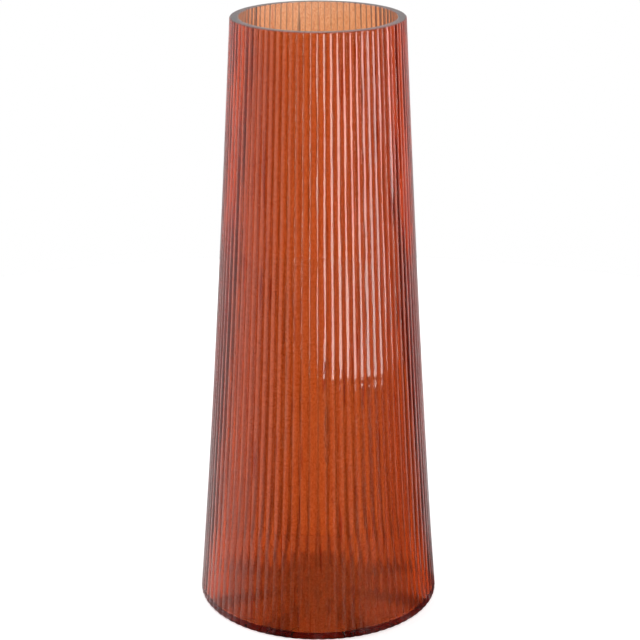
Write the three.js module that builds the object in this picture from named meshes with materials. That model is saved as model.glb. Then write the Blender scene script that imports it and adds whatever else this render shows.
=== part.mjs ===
// A tall, tapering vase of reeded glass, in millimetres, +Z up, with its origin at the centre of the
// foot, on the surface it stands on. It is cased glass, in two layers: a thick reeded casing of burnt
// orange glass, and a thin cup of paler glass inside it. Each layer is turned about Z from a half profile.
import * as THREE from "three";

// Outside, measured over the crests of the reeds
const HEIGHT = 360;
const FOOT_RADIUS = 73.4; // where the side's line meets the ground
const MOUTH_RADIUS = 50.5; // at the lip
const SIDE_BOW = 1.3; // how far the side bends in from a straight taper
const BOW_SKEW = -0.23; // below 0 the bend lies nearer the foot, above 0 nearer the lip

// Reeds
const REED_COUNT = 80;
const REED_DEPTH = 0.5;
const REED_POWER = 6; // the crest's curve: 2 is a parabola, and more is flatter with a steeper groove

// Glass
const WALL = 5; // both layers together
const FLOOR = 3.2; // both layers together, above the ground
const CORNER_RADIUS = 1.5; // inside, where the floor turns up into the wall
const LINING = 0.6; // the paler layer alone
const LAYER_GAP = 0.3; // keeps the solids apart where the real layers are fused

// Foot and lip
const FOOT_BEVEL = 2.6;
const STAND_RING = 26; // width of the flat ring that the vase stands on
const UNDERSIDE_RISE = 0.8; // how far the underside is hollowed at its centre
const LIP_BEVEL = 0.6;

// Facets
const STEPS_PER_REED = 3;
const LINING_STEPS = 96;
const WALL_STEPS = 4;
const CORNER_STEPS = 4;

// The casing's inside follows the lining's outside, LAYER_GAP away.
const CASING_WALL = WALL - LINING - LAYER_GAP;
const CASING_FLOOR = FLOOR - LINING - LAYER_GAP;
const CASING_CORNER = CORNER_RADIUS + LINING + LAYER_GAP;
const CASING_STEPS = REED_COUNT * STEPS_PER_REED;

function point(radius, z) {
  return new THREE.Vector2(radius, z);
}

// Radius over the reeds at a height above the ground.
function crestRadius(z) {
  const share = z / HEIGHT;
  const bow = 4 * SIDE_BOW * share * (1 - share) * (1 + BOW_SKEW * (2 * share - 1));
  return FOOT_RADIUS + (MOUTH_RADIUS - FOOT_RADIUS) * share - bow;
}

// How far the surface lies below the crests, at one of the casing's steps around. The place across a
// reed runs from -1 in one groove, through 0 on the crest, to 1 in the next groove.
function reedRelief(step) {
  const across = (2 * (step % STEPS_PER_REED)) / STEPS_PER_REED - 1;
  return REED_DEPTH * Math.abs(across) ** REED_POWER;
}

// The wall's line between two heights, at a depth below the crests.
function wallLine(from, to, depth) {
  const points = [];
  for (let i = 0; i <= WALL_STEPS; i++) {
    const z = from + ((to - from) * i) / WALL_STEPS;
    points.push(point(crestRadius(z) - depth, z));
  }
  return points;
}

// A cup's line, from the lip down the wall and round the corner to the middle of the floor.
function cupLine(wall, floor, corner) {
  const cornerTop = floor + corner;
  const cornerCentre = crestRadius(cornerTop) - wall - corner;
  const points = wallLine(HEIGHT, cornerTop, wall);
  for (let i = 1; i <= CORNER_STEPS; i++) {
    const turn = ((Math.PI / 2) * i) / CORNER_STEPS;
    points.push(point(cornerCentre + corner * Math.cos(turn), cornerTop - corner * Math.sin(turn)));
  }
  points.push(point(0, floor));
  return points;
}

// Turns a half profile, whose ends are both on the axis, into a solid standing along Z.
function turned(profile, steps) {
  return new THREE.LatheGeometry(profile, steps).rotateX(Math.PI / 2);
}

// Sinks the profile's points from index first to index last between the crests of the reeds.
function pressReeds(geometry, profile, first, last) {
  const position = geometry.getAttribute("position");
  for (let step = 0; step <= CASING_STEPS; step++) {
    for (let i = first; i <= last; i++) {
      const vertex = step * profile.length + i;
      const scale = 1 - reedRelief(step) / profile[i].x;
      position.setX(vertex, position.getX(vertex) * scale);
      position.setY(vertex, position.getY(vertex) * scale);
    }
  }
}

// The thick outer glass. Its reeds run from the edge of the stand ring up to the lip's bevel.
function makeCasing() {
  const standRadius = crestRadius(0) - FOOT_BEVEL;
  const underside = [point(0, UNDERSIDE_RISE), point(standRadius - STAND_RING, 0)];
  const side = [point(standRadius, 0), ...wallLine(FOOT_BEVEL, HEIGHT - LIP_BEVEL, 0)];
  const lip = point(crestRadius(HEIGHT) - LIP_BEVEL, HEIGHT);
  const inside = cupLine(CASING_WALL, CASING_FLOOR, CASING_CORNER);
  const profile = [...underside, ...side, lip, ...inside];
  const geometry = turned(profile, CASING_STEPS);
  pressReeds(geometry, profile, underside.length, underside.length + side.length - 1);
  const glass = { color: 0xc4491b, roughness: 0.03, metalness: 0, transparent: true, opacity: 0.6 };
  return new THREE.Mesh(geometry, new THREE.MeshStandardMaterial(glass));
}

// The thin paler glass, a cup that lines the casing from the lip to the floor.
function makeLining() {
  const outside = cupLine(WALL - LINING, FLOOR - LINING, CORNER_RADIUS + LINING);
  const inside = cupLine(WALL, FLOOR, CORNER_RADIUS);
  const geometry = turned([...outside.reverse(), ...inside], LINING_STEPS);
  const glass = { color: 0xe2a07a, roughness: 0.1, metalness: 0, transparent: true, opacity: 0.4 };
  return new THREE.Mesh(geometry, new THREE.MeshStandardMaterial(glass));
}

const casing = makeCasing();
casing.name = "reeded_casing";
const lining = makeLining();
lining.name = "colour_lining";

const vase = new THREE.Group();
vase.add(casing, lining);

export default vase;
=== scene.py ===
import math
import random

import bpy
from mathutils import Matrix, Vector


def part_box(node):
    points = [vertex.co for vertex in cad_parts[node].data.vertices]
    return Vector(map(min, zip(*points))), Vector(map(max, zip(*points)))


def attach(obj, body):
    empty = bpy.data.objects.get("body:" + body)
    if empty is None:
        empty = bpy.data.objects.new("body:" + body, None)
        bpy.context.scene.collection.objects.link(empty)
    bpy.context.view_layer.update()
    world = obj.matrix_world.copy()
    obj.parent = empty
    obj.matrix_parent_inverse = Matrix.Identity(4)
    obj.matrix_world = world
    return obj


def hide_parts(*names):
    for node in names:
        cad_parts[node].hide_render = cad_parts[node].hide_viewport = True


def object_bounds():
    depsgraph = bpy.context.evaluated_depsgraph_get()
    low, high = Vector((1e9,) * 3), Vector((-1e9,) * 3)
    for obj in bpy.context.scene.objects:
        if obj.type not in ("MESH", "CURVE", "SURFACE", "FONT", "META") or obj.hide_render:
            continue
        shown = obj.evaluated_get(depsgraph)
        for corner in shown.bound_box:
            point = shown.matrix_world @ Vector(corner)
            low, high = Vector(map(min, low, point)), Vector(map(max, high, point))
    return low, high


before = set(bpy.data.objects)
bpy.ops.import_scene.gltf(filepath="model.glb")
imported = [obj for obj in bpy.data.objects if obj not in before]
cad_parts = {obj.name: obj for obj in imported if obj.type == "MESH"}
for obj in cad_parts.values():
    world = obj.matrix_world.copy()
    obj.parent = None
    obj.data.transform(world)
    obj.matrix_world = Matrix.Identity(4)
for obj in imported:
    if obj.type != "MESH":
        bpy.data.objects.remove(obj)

# A tall, tapering vase of reeded cased glass, standing on a white table in a white studio. Everything is
# in metres, in the CAD's frame: +Z up, with the origin at the centre of the foot. Azimuths are angles
# about Z, from -Y, where the camera is, towards +X.
CAD_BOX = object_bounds()
MM = 0.001
DICE = random.Random(80)

# Outside, over the crests of the reeds
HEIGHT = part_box("reeded_casing")[1][2]
MOUTH_RADIUS = 50.5 * MM
FOOT_BEVEL = 2.6 * MM
SIDE_BOW = 1.3 * MM
BOW_SKEW = -0.23


def side_bow(share):
    """How far the side bends in from a straight taper, at a share of the height."""
    return 4 * SIDE_BOW * share * (1 - share) * (1 + BOW_SKEW * (2 * share - 1))


# The side's line meets the ground here, so that the widest ring, on top of the foot's bevel, is as wide
# as the casing's box.
BEVEL_SHARE = FOOT_BEVEL / HEIGHT
WIDEST = CAD_BOX[1][0] + side_bow(BEVEL_SHARE)
FOOT_RADIUS = (WIDEST - MOUTH_RADIUS * BEVEL_SHARE) / (1 - BEVEL_SHARE)

# Reeds. Stations run across a reed from -1 in one groove, through 0 on the crest, to 1 in the next.
REED_COUNT = 80
REED_STATIONS = (-1, -0.95, -0.88, -0.78, -0.62, -0.42, -0.2, 0, 0.2, 0.42, 0.62, 0.78, 0.88, 0.95)
REED_CROWN = 0.03 * MM
CROWN_HALF = 0.12  # how far from the crest, in stations, the groove begins
GROOVE_DEPTH = 0.3 * MM
CREASE_DEPTH = 0.2 * MM
CREASE_POWER = 12  # the crease at the bottom of a groove is narrower for a higher power

# Each reed's unevenness along Z
DRIFT_LENGTHS = (40 * MM, 130 * MM)
DEPTH_SWING = 0.2  # of the groove's depth
LEAN_SWING = 0.012 * MM

# Some grooves run deeper over part of their height.
CUT_COUNT = 12
CUT_DEPTH = 0.3 * MM
CUT_STARTS = (0, 0.75)  # of the height
CUT_LENGTHS = (0.15, 0.5)  # of the height
CUT_FADE = 20 * MM

# Glass
WALL = 5 * MM
FLOOR = 3.2 * MM
LINING = 0.6 * MM
CORNER_RADIUS = 1.5 * MM
LAYER_GAP = 0.02 * MM

# Foot and lip
STAND_RING = 26 * MM
UNDERSIDE_RISE = 0.8 * MM
LIP_BEVEL = 0.6 * MM
LIP_ROUND = 0.3  # of the bevel: how far its middle lies in from the corner
LIP_RELIEF = 0.6  # of the reeds' relief, left in the middle of the bevel

# Facets
COLUMNS = REED_COUNT * len(REED_STATIONS)
LINING_COLUMNS = 320
SIDE_ROWS = 50
INSIDE_ROWS = 10
LINING_ROWS = 24
CORNER_ROWS = 4
BEVEL_ROWS = 5
SUPPORT = 0.15 * MM  # from an edge to the row beside it, which keeps the smooth shading off flat faces


def crest_radius(z):
    """Radius over the reeds at a height above the ground."""
    share = z / HEIGHT
    return FOOT_RADIUS + (MOUTH_RADIUS - FOOT_RADIUS) * share - side_bow(share)


def spaced(start, end, count):
    """Evenly spaced numbers from start to end, both included."""
    return [start + (end - start) * i / count for i in range(count + 1)]


def ease(value, low, high):
    """Goes smoothly from 0 at low to 1 at high, which may be the lower of the two."""
    share = min(max((value - low) / (high - low), 0), 1)
    return share * share * (3 - 2 * share)


def wave():
    """A slow drift along Z, of its own length and phase, between -1 and 1."""
    length = DICE.uniform(*DRIFT_LENGTHS)
    phase = DICE.uniform(0, 2 * math.pi)
    return lambda z: math.sin(2 * math.pi * z / length + phase)


def deep_cuts():
    """The deeper grooves, as {groove: (start, end)} in heights."""
    cuts = {}
    for groove in DICE.sample(range(REED_COUNT), CUT_COUNT):
        start = DICE.uniform(*CUT_STARTS) * HEIGHT
        cuts[groove] = (start, start + DICE.uniform(*CUT_LENGTHS) * HEIGHT)
    return cuts


# One drift for each groove and each crown, and then the cuts, in this order, as they share the dice.
GROOVE_DRIFT = [wave() for _ in range(REED_COUNT)]
CROWN_DRIFT = [wave() for _ in range(REED_COUNT)]
CUTS = deep_cuts()


def groove_depth(groove, z):
    """How deep a groove is at a height, without its crease."""
    depth = GROOVE_DEPTH * (1 + DEPTH_SWING * GROOVE_DRIFT[groove](z))
    if groove in CUTS:
        start, end = CUTS[groove]
        depth += CUT_DEPTH * ease(z, start, start + CUT_FADE) * ease(z, end, end - CUT_FADE)
    return depth


def reed_relief(column, z):
    """How far the surface lies below the crests' line."""
    reed, station = divmod(column, len(REED_STATIONS))
    across = REED_STATIONS[station]
    groove = reed if across < 0 else (reed + 1) % REED_COUNT
    lean = LEAN_SWING * (1 + CROWN_DRIFT[reed](z)) * (1 - across ** 2)
    crown = REED_CROWN * across ** 2 + lean
    crease = CREASE_DEPTH * abs(across) ** CREASE_POWER
    return crown + groove_depth(groove, z) * ease(abs(across), CROWN_HALF, 1) + crease


def reed_angle(column):
    """Where one of the casing's columns stands, as an angle about Z."""
    reed, station = divmod(column, len(REED_STATIONS))
    return 2 * math.pi * (reed + (REED_STATIONS[station] + 1) / 2) / REED_COUNT


def even_angle(column):
    """Where one of the lining's columns stands, as an angle about Z."""
    return 2 * math.pi * column / LINING_COLUMNS


def arc(centre, radius, start, end, count):
    """Points of (radius, z) on an arc, from one angle to another in degrees."""
    points = []
    for angle in spaced(math.radians(start), math.radians(end), count):
        points.append((centre[0] + radius * math.cos(angle), centre[1] + radius * math.sin(angle)))
    return points


def cup_line(top, wall, floor, corner, rows):
    """From the lip down the wall and round the corner to the middle of the floor, as (radius, z)."""
    corner_top = floor + corner
    wall_heights = spaced(top - SUPPORT, corner_top + SUPPORT, rows)
    heights = [top] + wall_heights + [corner_top]
    points = [(crest_radius(z) - wall, z) for z in heights]
    centre = (crest_radius(corner_top) - wall - corner, corner_top)
    points += arc(centre, corner, 0, -90, CORNER_ROWS)[1:]
    points += [(centre[0] - SUPPORT, floor), (centre[0] / 2, floor)]
    return points + [(0, floor)]


def ring_points(point, angles, relief):
    """The vertices that a profile's point turns into: one on the axis, or else one for each angle."""
    radius, z, share = point
    if radius == 0:
        return [(0, 0, z)]
    points = []
    for column, angle in enumerate(angles):
        r = radius - (share * relief(column, z) if share else 0)
        points.append((r * math.cos(angle), r * math.sin(angle), z))
    return points


def band(low, high):
    """The faces between two rings of vertex numbers: triangles where a ring repeats one vertex."""
    faces = []
    for column in range(len(low)):
        after = (column + 1) % len(low)
        corners = (low[column], low[after], high[after], high[column])
        faces.append(tuple(dict.fromkeys(corners)))
    return faces


def turned_piece(name, profile, angles, relief, finish):
    """Turns a profile of (radius, z, share of the reeds' relief), whose ends are on the axis. What
    finish(row) says of a row is kept on its faces, as a share of 0 or 1 for each finish."""
    verts = []
    rings = []
    for point in profile:
        points = ring_points(point, angles, relief)
        step = 1 if len(points) > 1 else 0
        rings.append([len(verts) + step * column for column in range(len(angles))])
        verts += points
    faces = []
    finishes = []
    for row, (low, high) in enumerate(zip(rings, rings[1:])):
        faces += band(low, high)
        finishes += [finish(row)] * len(angles)
    mesh = bpy.data.meshes.new(name)
    mesh.from_pydata(verts, [], faces)
    mesh.update()
    mesh.shade_smooth()
    for finish_name in ("fused", "ground"):
        shares = [float(face == finish_name) for face in finishes]
        mesh.attributes.new(finish_name, "FLOAT", "FACE").data.foreach_set("value", shares)
    piece = bpy.data.objects.new(name, mesh)
    bpy.context.scene.collection.objects.link(piece)
    return piece


def underside_line(hollow, stand):
    """From the middle of the hollow to the outer edge of the flat ring, as (radius, z)."""
    near_edge = UNDERSIDE_RISE * SUPPORT / hollow
    inner = [(0, UNDERSIDE_RISE), (hollow - SUPPORT, near_edge)]
    return inner + [(hollow, 0), (hollow + SUPPORT, 0), (stand - SUPPORT, 0)]


def lip_line(inside_radius):
    """Over the lip, from its outer bevel to its inner edge, as (radius, z, share of the relief)."""
    lip = crest_radius(HEIGHT)
    bevel = (lip - LIP_BEVEL * LIP_ROUND, HEIGHT - LIP_BEVEL * LIP_ROUND, LIP_RELIEF)
    flat = [lip - LIP_BEVEL, lip - LIP_BEVEL - SUPPORT, inside_radius + SUPPORT]
    return [bevel] + [(radius, HEIGHT, 0) for radius in flat]


class Graph:
    """Adds nodes to a material's or the world's tree."""

    def __init__(self, tree):
        self.nodes = tree.nodes
        self.links = tree.links

    def put(self, socket, item):
        """Sets a socket to a value, or links an output to it."""
        if isinstance(item, (int, float, tuple)):
            socket.default_value = item
        else:
            self.links.new(item, socket)

    def add(self, kind, settings=None, **inputs):
        """A node with its settings and inputs, where an underscore stands for a space."""
        node = self.nodes.new("ShaderNode" + kind)
        for name, value in (settings or {}).items():
            setattr(node, name, value)
        for name, item in inputs.items():
            self.put(node.inputs[name.replace("_", " ")], item)
        return node

    def fill(self, node, items):
        """Puts items into a node's inputs, by index."""
        for index, item in items.items():
            self.put(node.inputs[index], item)

    def math(self, operation, *items):
        node = self.add("Math", {"operation": operation})
        self.fill(node, dict(enumerate(items)))
        return node.outputs[0]

    def smooth(self, value, edges, levels=(0.0, 1.0)):
        """Eases from one level to the other, as the value goes from one edge to the other."""
        node = self.add(
            "MapRange",
            {"interpolation_type": "SMOOTHSTEP"},
            Value=value,
            From_Min=edges[0],
            From_Max=edges[1],
            To_Min=levels[0],
            To_Max=levels[1],
        )
        return node.outputs[0]

    def mix(self, factor, first, second):
        node = self.add("Mix", {"data_type": "FLOAT"})
        self.fill(node, {0: factor, 2: first, 3: second})
        return node.outputs[0]

    def blend(self, factor, first, second):
        """Mixes two colours, each an output or red, green and blue."""
        node = self.add("Mix", {"data_type": "RGBA"})
        first, second = ((*item, 1) if isinstance(item, tuple) else item for item in (first, second))
        self.fill(node, {0: factor, 6: first, 7: second})
        return node.outputs[2]

    def noise(self, size, stretch, detail):
        """Noise with grains of a given size in metres, made longer along Z by a stretch."""
        coords = self.nodes.new("ShaderNodeTexCoord")
        mapping = self.add("Mapping", Vector=coords.outputs["Object"], Scale=(1.0, 1.0, 1.0 / stretch))
        node = self.add("TexNoise", Vector=mapping.outputs[0], Scale=1 / size, Detail=detail)
        return node.outputs[0]

    def face_share(self, finish_name):
        """A finish's share on a piece's faces, which is 0 or 1."""
        return self.add("Attribute", {"attribute_name": finish_name}).outputs["Fac"]

    def by_face(self, finish_name, elsewhere, there):
        """One value where the faces have a finish, and another elsewhere."""
        return self.math("MULTIPLY_ADD", self.face_share(finish_name), there - elsewhere, elsewhere)


GLASS_IOR = 1.5
FUSED_IOR = 1.0  # where the two layers meet, light isn't bent

# Casing: burnt orange all through, fire-polished with faint waves, and ground under the foot
CASING_ABSORBS = (24, 212, 420)  # of red, green and blue, per metre
POLISHED_ROUGHNESS = 0.01
GROUND_ROUGHNESS = 0.46
WAVE_HEIGHT = 0.05 * MM
WAVE_RINGS = (40 * MM, 0.2, 1.0)  # size, stretch and detail, as in all the noises below
WAVE_RIPPLES = (1.6 * MM, 1.3, 1.0)
RIPPLE_SHARE = 0.2

# Lining: paler and slightly cloudy, with a fine grain and a few thin, dark cords
LINING_ROUGHNESS = 0.02
LINING_CLEAR = 0.76  # the rest is cloud
LINING_GRAIN = (0.9 * MM, 1.5, 2.0)
LINING_BANDS = (3 * MM, 14, 3.0)
BAND_SHARE = 0.3
GRAIN_EDGES = (0.35, 0.65)
GRAIN_PALE = (1.0, 0.96, 0.93)
GRAIN_DEEP = (0.88, 0.73, 0.65)
LINING_CORDS = (1.6 * MM, 80, 0.0)
CORD_EDGES = (0.71, 0.83)
CORD_COLOR = (0.62, 0.3, 0.25)


def glass(name, roughness):
    """A glass material, with its shader and its graph."""
    material = bpy.data.materials.new(name)
    material.use_nodes = True
    graph = Graph(material.node_tree)
    shader = graph.nodes["Principled BSDF"]
    graph.put(shader.inputs["IOR"], graph.by_face("fused", GLASS_IOR, FUSED_IOR))
    shader.inputs["Base Color"].default_value = (1, 1, 1, 1)
    shader.inputs["Transmission Weight"].default_value = 1
    shader.inputs["Roughness"].default_value = roughness
    return material, shader, graph


def casing_glass():
    material, shader, graph = glass("casing_glass", POLISHED_ROUGHNESS)
    roughness = graph.by_face("ground", POLISHED_ROUGHNESS, GROUND_ROUGHNESS)
    graph.put(shader.inputs["Roughness"], roughness)
    rings = graph.noise(*WAVE_RINGS)
    height = graph.math("MULTIPLY_ADD", graph.noise(*WAVE_RIPPLES), RIPPLE_SHARE, rings)
    bump = graph.add("Bump", Strength=1.0, Distance=WAVE_HEIGHT, Height=height)
    graph.put(shader.inputs["Normal"], bump.outputs[0])
    most = max(CASING_ABSORBS)
    color = tuple(1 - absorbed / most for absorbed in CASING_ABSORBS)
    body = graph.add("VolumeAbsorption", Density=most, Color=(*color, 1))
    graph.put(graph.nodes["Material Output"].inputs["Volume"], body.outputs[0])
    return material


def lining_glass():
    material, shader, graph = glass("lining_glass", LINING_ROUGHNESS)
    banding = graph.math("SUBTRACT", graph.noise(*LINING_BANDS), 0.5)
    speckle = graph.math("MULTIPLY_ADD", banding, BAND_SHARE, graph.noise(*LINING_GRAIN))
    color = graph.blend(graph.smooth(speckle, GRAIN_EDGES), GRAIN_PALE, GRAIN_DEEP)
    cord = graph.smooth(graph.noise(*LINING_CORDS), CORD_EDGES)
    graph.put(shader.inputs["Base Color"], graph.blend(cord, color, CORD_COLOR))
    graph.put(shader.inputs["Transmission Weight"], graph.by_face("fused", LINING_CLEAR, 1.0))
    return material


def make_casing():
    """The thick reeded body, whose inside is fused to the lining."""
    top = HEIGHT - LIP_BEVEL
    stand = crest_radius(FOOT_BEVEL) - FOOT_BEVEL
    underside = underside_line(stand - STAND_RING, stand)
    bevel = arc((stand, FOOT_BEVEL), FOOT_BEVEL, -90, 0, BEVEL_ROWS)[:-1]
    heights = [FOOT_BEVEL] + spaced(FOOT_BEVEL + SUPPORT, top - SUPPORT, SIDE_ROWS) + [top]
    side = [(crest_radius(z), z) for z in heights]
    inside = cup_line(HEIGHT, WALL - LINING, FLOOR - LINING, CORNER_RADIUS + LINING, INSIDE_ROWS)
    profile = [(r, z, 0) for r, z in underside]
    profile += [(r, z, 1) for r, z in bevel + side]
    profile += lip_line(inside[0][0])
    fused_from = len(profile)
    profile += [(r, z, 0) for r, z in inside]
    angles = [reed_angle(column) for column in range(COLUMNS)]

    def finish(row):
        if row < len(underside):
            return "ground"
        return "fused" if row >= fused_from else "polished"

    piece = turned_piece("reeded_casing_glass", profile, angles, reed_relief, finish)
    piece.data.materials.append(casing_glass())
    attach(piece, "root")
    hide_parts("reeded_casing")


def make_lining():
    """The thin cup inside the casing, whose outside is fused to it."""
    top = HEIGHT - LAYER_GAP
    wall = WALL - LINING + LAYER_GAP
    floor = FLOOR - LINING + LAYER_GAP
    corner = CORNER_RADIUS + LINING - LAYER_GAP
    outside = cup_line(top, wall, floor, corner, LINING_ROWS)
    inside = cup_line(top, WALL, FLOOR, CORNER_RADIUS, LINING_ROWS)
    lip = [(outside[0][0] - SUPPORT, top), (inside[0][0] + SUPPORT, top)]
    profile = [(r, z, 0) for r, z in outside[::-1] + lip + inside]
    fused_rows = len(outside) - 1
    angles = [even_angle(column) for column in range(LINING_COLUMNS)]

    def finish(row):
        return "fused" if row < fused_rows else "polished"

    piece = turned_piece("colour_lining_glass", profile, angles, None, finish)
    piece.data.materials.append(lining_glass())
    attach(piece, "root")
    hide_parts("colour_lining")


# Studio, as seen through the glass: panels all round
PANEL_COUNT = 8
PANEL_EDGES = (-0.75, -0.15)  # cosines, where 1 is the middle of a panel and -1 of a gap
PANEL_LEVELS = (0.25, 1.04)  # in the gaps, and on the panels

# Studio, as reflected by the glass: a dark front, bright sides, a dimmer back, thin strips and a softbox.
# The edges are in degrees, except as noted.
DARK_AZIMUTH = 32
DARK_EDGES = (60, 100)
DARK_LEVELS = (0.05, 1.0)
BACK_EDGES = (135, 165)
BACK_LEVELS = (1.0, 0.62)
STRIP_COUNT = 14
STRIP_EDGES = (0.8, 0.96)  # cosines, as on the panels
STRIP_FADE = (100, 130)
STRIP_LIGHT = 0.4
SOFTBOX_AZIMUTH = 43
SOFTBOX_EDGES = (13, 14.5)
SOFTBOX_TOP = (0.35, 0.4)  # the sine of its height above the horizon
SOFTBOX_LIGHT = 8.0
SPILL_EDGES = (8, 26)
SPILL_LIGHT = 0.12

# Table: white to the camera. To all else it glows as brightly as the studio behind it, a glow painted
# with the studio's light. Painted shadow darkens it under the foot's front and under the hollow, and
# painted light brightens it under the rest of the foot's ring.
TABLE_RADIUS = 0.69
TABLE_SIDES = 96
TABLE_DROP = 0.1 * MM
TABLE_ROUGHNESS = 0.5
TABLE_PALE = 0.9
# The table's glow is painted studio light to all else, and an even white to the camera
TABLE_GLOW = 0.3
TABLE_WHITE = 0.7
# Painted shadow under the hollow, and painted light under the foot's flat ring, as shares of the table's
# painted studio light
HOLLOW_EDGES = (43 * MM, 48 * MM)
PAINTED_HOLLOW_SHADE = 0.6
PAINTED_RING_LIGHT = 1.45
PAINTED_RING_SWING = -0.75  # the painted light under the ring dims towards -Y, into painted shade
FOOT_EDGES = (71 * MM, 74 * MM)

# Camera
CAMERA_PLACE = (0.0011, -1.1124, 0.5660)
CAMERA_DIP = 0.33663  # radians below level
LENS = 110.53
SENSOR = 36
GLASS_BOUNCES = 48
CLEAR_BOUNCES = 16


def in_radians(edges):
    return tuple(math.radians(edge) for edge in edges)


def azimuth_and_height(graph, output):
    """A direction's or a point's azimuth, in radians, and its Z."""
    coords = graph.nodes.new("ShaderNodeTexCoord")
    split = graph.add("SeparateXYZ", Vector=coords.outputs[output])
    x, y, z = split.outputs
    return graph.math("ARCTAN2", x, graph.math("MULTIPLY", y, -1)), z


def away(graph, azimuth, centre):
    """How far an azimuth is from a centre in degrees, in radians."""
    return graph.math("ABSOLUTE", graph.math("SUBTRACT", azimuth, math.radians(centre)))


def repeated(graph, azimuth, count, edges, levels=(0.0, 1.0)):
    """Bars that stand evenly all round, with one straight ahead."""
    turns = graph.math("COSINE", graph.math("MULTIPLY", azimuth, count))
    return graph.smooth(turns, edges, levels)


def reflected_light(graph, azimuth, softbox):
    """The light that the glass reflects."""
    from_dark = away(graph, azimuth, DARK_AZIMUTH)
    from_front = away(graph, azimuth, 0)
    sides = graph.smooth(from_dark, in_radians(DARK_EDGES), DARK_LEVELS)
    back = graph.smooth(from_front, in_radians(BACK_EDGES), BACK_LEVELS)
    light = graph.math("MULTIPLY", sides, back)
    strips = repeated(graph, azimuth, STRIP_COUNT, STRIP_EDGES)
    strip_light = graph.smooth(from_front, in_radians(STRIP_FADE), (STRIP_LIGHT, 0.0))
    light = graph.math("MULTIPLY_ADD", strips, strip_light, light)
    from_softbox = away(graph, azimuth, SOFTBOX_AZIMUTH)
    spill = graph.smooth(from_softbox, in_radians(SPILL_EDGES), (SPILL_LIGHT, 0.0))
    light = graph.math("ADD", light, spill)
    return graph.math("MULTIPLY_ADD", softbox, SOFTBOX_LIGHT, light)


def studio_light(graph, azimuth, softbox=0.0):
    """The light that comes from an azimuth, and whether the camera sees it with no glass between."""
    panels = repeated(graph, azimuth, PANEL_COUNT, PANEL_EDGES, PANEL_LEVELS)
    reflected = reflected_light(graph, azimuth, softbox)
    path = graph.nodes.new("ShaderNodeLightPath")
    light = graph.mix(path.outputs["Is Transmission Ray"], reflected, panels)
    return light, path.outputs["Is Camera Ray"]


def make_world():
    """White to the camera, and the studio to all else."""
    world = bpy.data.worlds.new("studio")
    bpy.context.scene.world = world
    world.use_nodes = True
    graph = Graph(world.node_tree)
    background = graph.nodes["Background"]
    azimuth, z = azimuth_and_height(graph, "Generated")
    from_softbox = away(graph, azimuth, SOFTBOX_AZIMUTH)
    across = graph.smooth(from_softbox, in_radians(SOFTBOX_EDGES), (1.0, 0.0))
    softbox = graph.math("MULTIPLY", across, graph.smooth(z, SOFTBOX_TOP, (1.0, 0.0)))
    light, camera = studio_light(graph, azimuth, softbox)
    graph.put(background.inputs["Strength"], graph.mix(camera, light, 1.0))
    background.inputs["Color"].default_value = (1, 1, 1, 1)


def painted_table_shadow_and_light(graph, azimuth):
    """Painted shadow and painted light on the table, as shares of its painted studio light, by the
    distance from the vase's axis and, under the foot's ring, by the azimuth.
    """
    coords = graph.nodes.new("ShaderNodeTexCoord")
    length = graph.add("VectorMath", {"operation": "LENGTH"})
    graph.put(length.inputs[0], coords.outputs["Object"])
    distance = length.outputs["Value"]
    # Under the foot's ring: painted light, brightest towards +Y and dimmed to painted shade towards -Y;
    # under the hollow: painted shadow
    ring = graph.math("MULTIPLY_ADD", graph.math("COSINE", azimuth), PAINTED_RING_SWING, PAINTED_RING_LIGHT)
    painted_under_foot = graph.smooth(distance, HOLLOW_EDGES, (PAINTED_HOLLOW_SHADE, ring))
    return graph.mix(graph.smooth(distance, FOOT_EDGES), painted_under_foot, 1.0)


def table_material():
    material = bpy.data.materials.new("table")
    material.use_nodes = True
    graph = Graph(material.node_tree)
    shader = graph.nodes["Principled BSDF"]
    shader.inputs["Roughness"].default_value = TABLE_ROUGHNESS
    shader.inputs["Emission Color"].default_value = (1, 1, 1, 1)
    # The table's colour and glow are painted light: the studio's light from its azimuth, times the
    # painted shadow and light under the vase
    azimuth = azimuth_and_height(graph, "Object")[0]
    light, camera = studio_light(graph, azimuth)
    painted_light_and_shade = graph.math("MULTIPLY", graph.mix(camera, light, 1.0), painted_table_shadow_and_light(graph, azimuth))
    pale = graph.math("MULTIPLY", graph.math("MINIMUM", painted_light_and_shade, 1.0), TABLE_PALE)
    grey = graph.add("CombineColor", Red=pale, Green=pale, Blue=pale)
    graph.put(shader.inputs["Base Color"], grey.outputs[0])
    glow = graph.mix(camera, graph.math("MULTIPLY", painted_light_and_shade, TABLE_GLOW), TABLE_WHITE)
    graph.put(shader.inputs["Emission Strength"], glow)
    return material


def make_table():
    verts = []
    for side in range(TABLE_SIDES):
        angle = 2 * math.pi * side / TABLE_SIDES
        verts.append((TABLE_RADIUS * math.cos(angle), TABLE_RADIUS * math.sin(angle), -TABLE_DROP))
    mesh = bpy.data.meshes.new("table")
    mesh.from_pydata(verts, [], [tuple(range(TABLE_SIDES))])
    mesh.materials.append(table_material())
    table = bpy.data.objects.new("table", mesh)
    bpy.context.scene.collection.objects.link(table)


def make_camera():
    data = bpy.data.cameras.new("camera")
    data.sensor_width = SENSOR
    data.lens = LENS
    camera = bpy.data.objects.new("camera", data)
    camera.location = CAMERA_PLACE
    camera.rotation_euler = (math.pi / 2 - CAMERA_DIP, 0, 0)
    bpy.context.scene.collection.objects.link(camera)
    bpy.context.scene.camera = camera


def set_view():
    """Plain colours, and enough bounces for light to get out of the glass."""
    scene = bpy.context.scene
    scene.view_settings.view_transform = "Standard"
    scene.cycles.max_bounces = GLASS_BOUNCES
    scene.cycles.transmission_bounces = GLASS_BOUNCES
    scene.cycles.transparent_max_bounces = CLEAR_BOUNCES


make_casing()
make_lining()
make_world()
make_table()
make_camera()
set_view()
